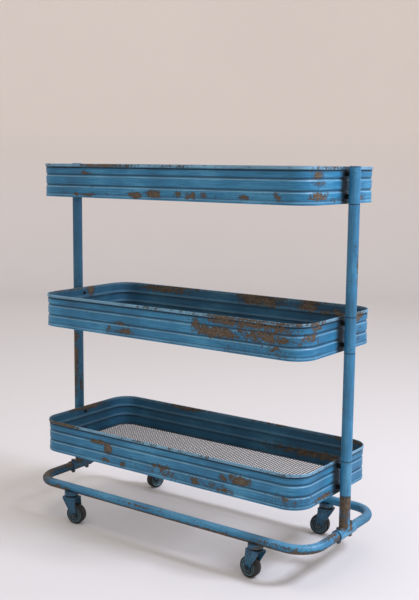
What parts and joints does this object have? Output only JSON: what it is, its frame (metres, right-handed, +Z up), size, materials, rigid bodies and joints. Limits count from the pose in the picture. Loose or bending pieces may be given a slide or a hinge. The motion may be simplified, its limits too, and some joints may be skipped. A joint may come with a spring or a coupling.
{
  "type": "rolling pantry cart",
  "caption": "Rolling pantry cart: a round-tube base loop on swivel casters, two end posts, and three shallow sheet-metal trays with wire-mesh floors.",
  "frame": {"origin": "on the floor, under the middle of the base loop, in the plane of the wheels' contact", "axes": "+X along the cart, +Y across it, +Z up"},
  "size_m": [0.8564, 0.3846, 0.9241],
  "materials": {
    "painted_tube": "worn brushed-on blue paint over steel tube",
    "painted_sheet": "worn brushed-on blue paint over steel sheet, rust showing",
    "painted_fork": "worn blue paint over pressed steel",
    "mesh_wire": "dull welded wire mesh",
    "zinc_fasteners": "dull zinc plate",
    "dark_steel": "dark oiled steel",
    "bearing_steel": "polished balls",
    "wheel_hub": "moulded grey-blue plastic, dusty",
    "tyre_rubber": "black rubber"
  },
  "bodies": {
    "frame": {"front_rail": "painted_tube", "rear_rail": "painted_tube", "left_tee": "painted_tube", "right_tee": "painted_tube", "tee_bolts": "zinc_fasteners", "tee_nuts": "zinc_fasteners", "left_lower_post": "painted_tube", "left_upper_post": "painted_tube", "left_bottom_sleeve": "painted_tube", "left_middle_sleeve": "painted_tube", "left_top_sleeve": "painted_tube", "left_post_cap": "painted_tube", "right_lower_post": "painted_tube", "right_upper_post": "painted_tube", "right_bottom_sleeve": "painted_tube", "right_middle_sleeve": "painted_tube", "right_top_sleeve": "painted_tube", "right_post_cap": "painted_tube", "bottom_tray_wall": "painted_sheet", "bottom_tray_floor": "mesh_wire", "middle_tray_wall": "painted_sheet", "middle_tray_floor": "mesh_wire", "top_tray_wall": "painted_sheet", "top_tray_floor": "mesh_wire", "tray_spacers": "dark_steel", "tray_screws": "dark_steel", "front_left_caster_boss": "painted_tube", "front_right_caster_boss": "painted_tube", "rear_left_caster_boss": "painted_tube", "rear_right_caster_boss": "painted_tube", "kingpins": "dark_steel", "kingpin_washers": "dark_steel", "ball_cups": "dark_steel", "swivel_balls": "bearing_steel"},
    "front_left_caster": {"front_left_fork": "painted_fork", "front_left_axle_bolt": "zinc_fasteners", "front_left_axle_nut": "zinc_fasteners"},
    "front_left_wheel": {"front_left_wheel_hub": "wheel_hub", "front_left_tyre": "tyre_rubber"},
    "front_right_caster": {"front_right_fork": "painted_fork", "front_right_axle_bolt": "zinc_fasteners", "front_right_axle_nut": "zinc_fasteners"},
    "front_right_wheel": {"front_right_wheel_hub": "wheel_hub", "front_right_tyre": "tyre_rubber"},
    "rear_left_caster": {"rear_left_fork": "painted_fork", "rear_left_axle_bolt": "zinc_fasteners", "rear_left_axle_nut": "zinc_fasteners"},
    "rear_left_wheel": {"rear_left_wheel_hub": "wheel_hub", "rear_left_tyre": "tyre_rubber"},
    "rear_right_caster": {"rear_right_fork": "painted_fork", "rear_right_axle_bolt": "zinc_fasteners", "rear_right_axle_nut": "zinc_fasteners"},
    "rear_right_wheel": {"rear_right_wheel_hub": "wheel_hub", "rear_right_tyre": "tyre_rubber"}
  },
  "joints": [
    {"name": "front_left_swivel", "type": "hinge", "parent": "frame", "child": "front_left_caster", "pos_m": [-0.29, -0.163, 0.07], "axis": [0, 0, 1], "continuous": true},
    {"name": "front_left_wheel_spin", "type": "hinge", "parent": "front_left_caster", "child": "front_left_wheel", "pos_m": [-0.27515, -0.16091, 0.025], "axis": [-0.1392, 0.9903, 0], "continuous": true},
    {"name": "front_right_swivel", "type": "hinge", "parent": "frame", "child": "front_right_caster", "pos_m": [0.279, -0.163, 0.07], "axis": [0, 0, 1], "continuous": true},
    {"name": "front_right_wheel_spin", "type": "hinge", "parent": "front_right_caster", "child": "front_right_wheel", "pos_m": [0.26423, -0.1604, 0.025], "axis": [-0.1736, -0.9848, 0], "continuous": true},
    {"name": "rear_left_swivel", "type": "hinge", "parent": "frame", "child": "rear_left_caster", "pos_m": [-0.29, 0.163, 0.07], "axis": [0, 0, 1], "continuous": true},
    {"name": "rear_left_wheel_spin", "type": "hinge", "parent": "rear_left_caster", "child": "rear_left_wheel", "pos_m": [-0.28688, 0.17767, 0.025], "axis": [-0.9781, 0.2079, 0], "continuous": true},
    {"name": "rear_right_swivel", "type": "hinge", "parent": "frame", "child": "rear_right_caster", "pos_m": [0.279, 0.163, 0.07], "axis": [0, 0, 1], "continuous": true},
    {"name": "rear_right_wheel_spin", "type": "hinge", "parent": "rear_right_caster", "child": "rear_right_wheel", "pos_m": [0.26451, 0.15912, 0.025], "axis": [0.2588, -0.9659, 0], "continuous": true}
  ]
}
